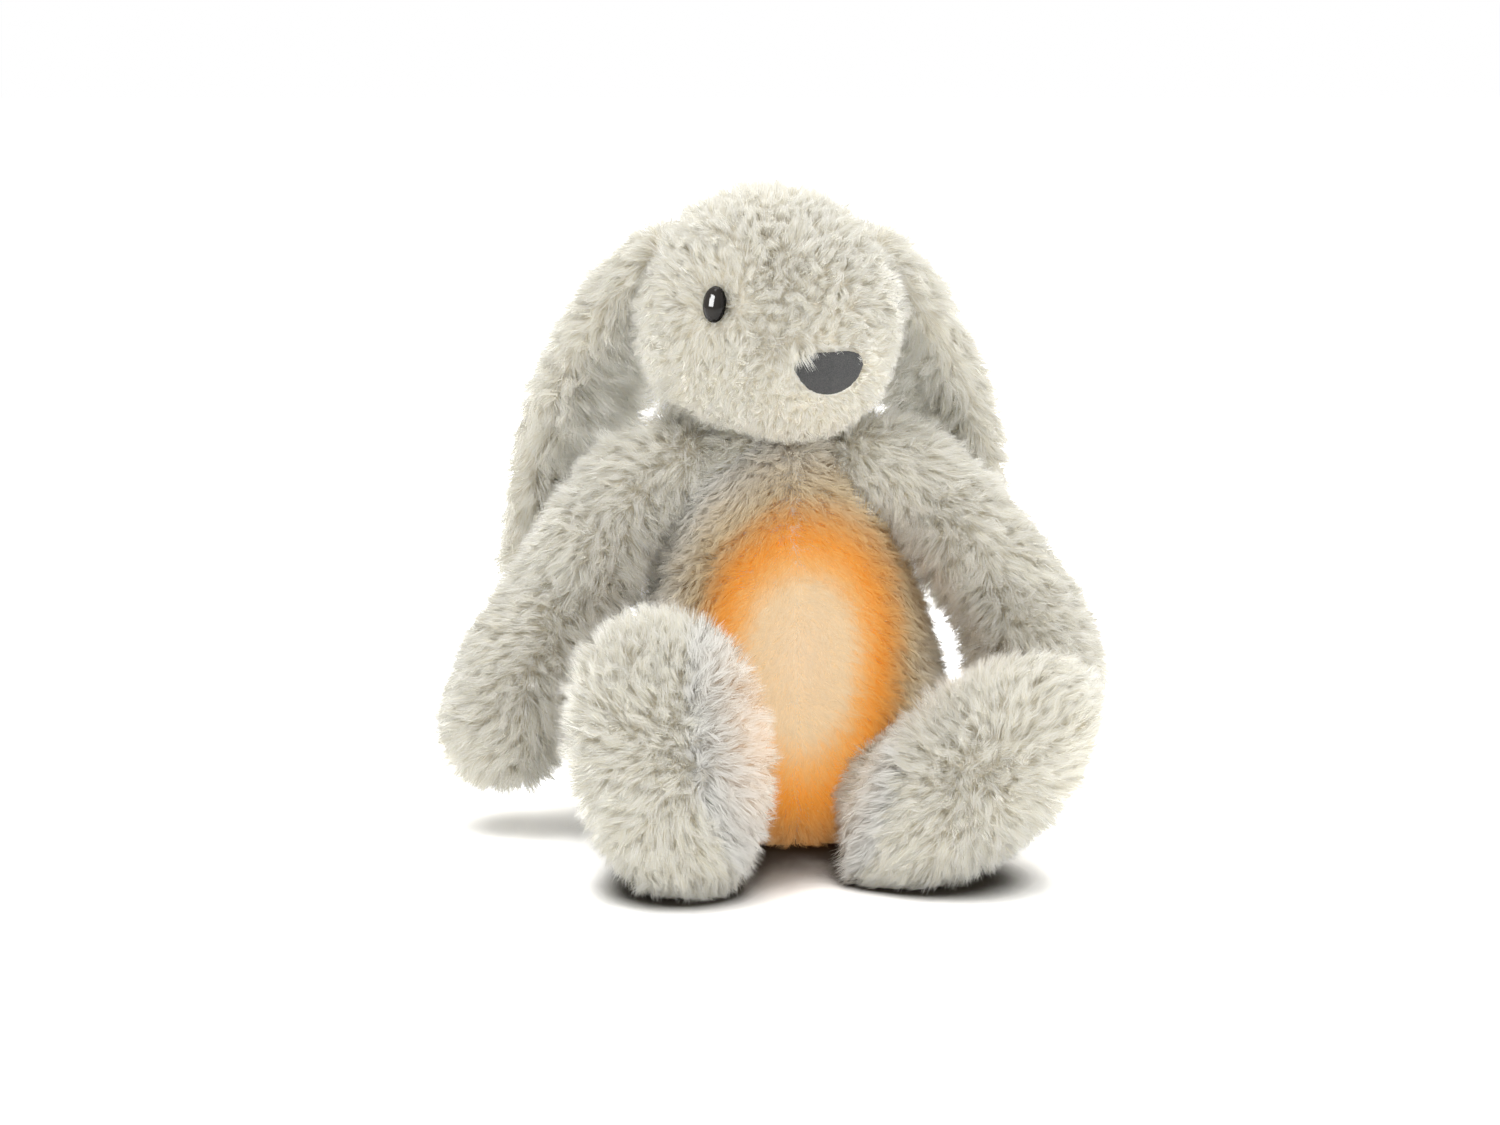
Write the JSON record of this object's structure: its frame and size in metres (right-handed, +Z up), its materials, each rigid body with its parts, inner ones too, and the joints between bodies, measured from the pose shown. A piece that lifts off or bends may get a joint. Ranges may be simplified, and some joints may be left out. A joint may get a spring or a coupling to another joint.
{
  "type": "plush night light",
  "caption": "Seated long-eared plush rabbit night light with floppy limbs and an amber light unit behind the belly, reached by a flap at the back.",
  "frame": {"origin": "middle of the seated toy's footprint, on the surface it sits on", "axes": "+Z up, -Y the way the belly faces, +X the toy's left side"},
  "size_m": [0.2634, 0.2136, 0.257],
  "materials": {
    "pile": "long clumped cream-grey pile fabric, stuffed",
    "nose_fabric": "short dark grey felted nap",
    "fibre_fill": "loose white polyester fibre",
    "cotton_lining": "plain woven cotton",
    "hook_and_loop": "hook-and-loop tape",
    "eye_plastic": "polished black",
    "white_plastic": "fine moulded texture",
    "milky_plastic": "translucent satin",
    "grey_plastic": "fine moulded texture",
    "black_plastic": "satin moulded",
    "red_sleeve": "smooth wire cover",
    "circuit_board": "solder mask over glass laminate",
    "amber_led": "clear resin lens over an amber chip",
    "cell_wrap": "printed shrink sleeve, plain",
    "plated_steel": "nickel plated"
  },
  "bodies": {
    "torso": {"torso_plush": "pile", "torso_filling": "fibre_fill", "pellet_bag": "cotton_lining", "tail": "pile", "loop_strip": "hook_and_loop", "light_pouch": "cotton_lining", "pocket_cushion": "fibre_fill", "front_housing": "white_plastic", "rear_housing": "white_plastic", "diffuser": "milky_plastic", "led_board": "circuit_board", "led_1": "amber_led", "led_2": "amber_led", "led_3": "amber_led", "led_4": "amber_led", "tact_switch": "black_plastic", "battery_1": "cell_wrap", "battery_2": "cell_wrap", "battery_3": "cell_wrap", "contact_spring_1": "plated_steel", "contact_spring_2": "plated_steel", "contact_spring_3": "plated_steel", "contact_plate_top": "plated_steel", "contact_plate_bottom": "plated_steel", "battery_door": "white_plastic", "door_screw": "plated_steel", "case_screw_1": "plated_steel", "case_screw_2": "plated_steel", "case_screw_3": "plated_steel", "case_screw_4": "plated_steel", "lead_positive": "red_sleeve", "lead_negative": "black_plastic"},
    "head": {"head_plush": "pile", "nose_patch": "nose_fabric", "eye_right": "eye_plastic", "eye_left": "eye_plastic", "eye_washer_right": "white_plastic", "eye_washer_left": "white_plastic"},
    "ear_right": {"ear_right": "pile"},
    "ear_left": {"ear_left": "pile"},
    "arm_right": {"arm_right": "pile"},
    "arm_left": {"arm_left": "pile"},
    "leg_right": {"leg_right": "pile", "foot_right": "pile"},
    "leg_left": {"leg_left": "pile", "foot_left": "pile"},
    "flap": {"battery_flap": "pile", "hook_strip": "hook_and_loop"},
    "button": {"push_button": "grey_plastic"}
  },
  "joints": [
    {"name": "head_turn", "type": "hinge", "parent": "torso", "child": "head", "pos_m": [-0.00332, 0.01315, 0.15], "axis": [0, 0, 1], "range_deg": [-8, 8], "stiffness_Nm_per_rad": 0.6},
    {"name": "ear_right_lift", "type": "hinge", "parent": "head", "child": "ear_right", "pos_m": [-0.04357, 0.01915, 0.235], "axis": [0, 1, 0], "range_deg": [0, 90]},
    {"name": "ear_left_lift", "type": "hinge", "parent": "head", "child": "ear_left", "pos_m": [0.04043, 0.01915, 0.235], "axis": [0, -1, 0], "range_deg": [0, 90]},
    {"name": "arm_right_lift", "type": "hinge", "parent": "torso", "child": "arm_right", "pos_m": [-0.03544, 0.01115, 0.15], "axis": [0, 1, 0], "range_deg": [0, 45]},
    {"name": "arm_left_lift", "type": "hinge", "parent": "torso", "child": "arm_left", "pos_m": [0.03456, 0.01115, 0.15], "axis": [0, -1, 0], "range_deg": [0, 45]},
    {"name": "leg_right_swing", "type": "hinge", "parent": "torso", "child": "leg_right", "pos_m": [-0.03032, -0.01485, 0.027], "axis": [1, 0, 0], "range_deg": [0, 75]},
    {"name": "leg_left_swing", "type": "hinge", "parent": "torso", "child": "leg_left", "pos_m": [0.04568, -0.01485, 0.027], "axis": [1, 0, 0], "range_deg": [0, 75]},
    {"name": "flap_open", "type": "hinge", "parent": "torso", "child": "flap", "pos_m": [0.00968, 0.05541, 0.11598], "axis": [1, 0, 0], "range_deg": [0, 100]},
    {"name": "button_press", "type": "slide", "parent": "torso", "child": "button", "axis": [0, 1, 0], "range_m": [0, 0.0012], "stiffness_N_per_m": 800}
  ]
}
